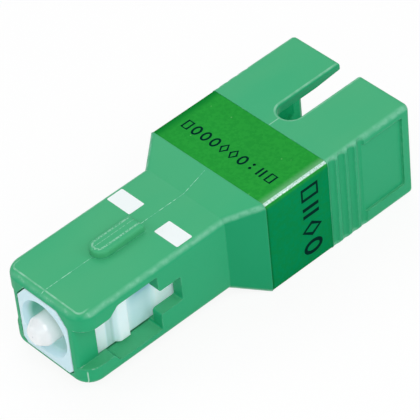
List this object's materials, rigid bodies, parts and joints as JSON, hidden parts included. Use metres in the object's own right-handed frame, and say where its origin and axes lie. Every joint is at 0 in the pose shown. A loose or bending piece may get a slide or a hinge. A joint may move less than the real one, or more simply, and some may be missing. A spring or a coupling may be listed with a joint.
{
  "type": "fibre optic attenuator",
  "caption": "Push-pull fibre optic attenuator in one housing: keyed ferrule plug in front, tapered step, and a slotted socket with an alignment sleeve and latch arms behind.",
  "frame": {"origin": "on the optical axis, in the plane of the plug's front face", "axes": "+X along the optical axis from the plug to the socket, +Z towards the key side, +Y across the housing"},
  "size_m": [0.0342, 0.013, 0.0094],
  "materials": {
    "housing_green": "satin moulded plastic",
    "label_green": "glossy film",
    "mark_white": "matte white",
    "frame_white": "translucent white moulding",
    "ceramic_white": "polished ceramic",
    "collar_metal": "turned, nickel plated",
    "spring_steel": "drawn wire",
    "washer_steel": "punched",
    "fibre_glass": "clear"
  },
  "bodies": {
    "shell": {"outer_shell": "housing_green", "label": "label_green", "insertion_mark_left": "mark_white", "insertion_mark_right": "mark_white"},
    "inner": {"plug_frame": "frame_white", "latch_block": "frame_white", "sleeve_holder": "frame_white", "split_sleeve": "ceramic_white", "spring_washer": "washer_steel", "ferrule_spring": "spring_steel"},
    "ferrule": {"front_ferrule": "ceramic_white", "rear_ferrule": "ceramic_white", "ferrule_collar": "collar_metal", "attenuating_fibre": "fibre_glass"}
  },
  "joints": [
    {"name": "release_slide", "type": "slide", "parent": "shell", "child": "inner", "axis": [-1, 0, 0], "range_m": [0, 0.0015]},
    {"name": "ferrule_slide", "type": "slide", "parent": "inner", "child": "ferrule", "axis": [1, 0, 0], "range_m": [0, 0.001], "stiffness_N_per_m": 1000, "deforming": ["ferrule_spring"]}
  ]
}
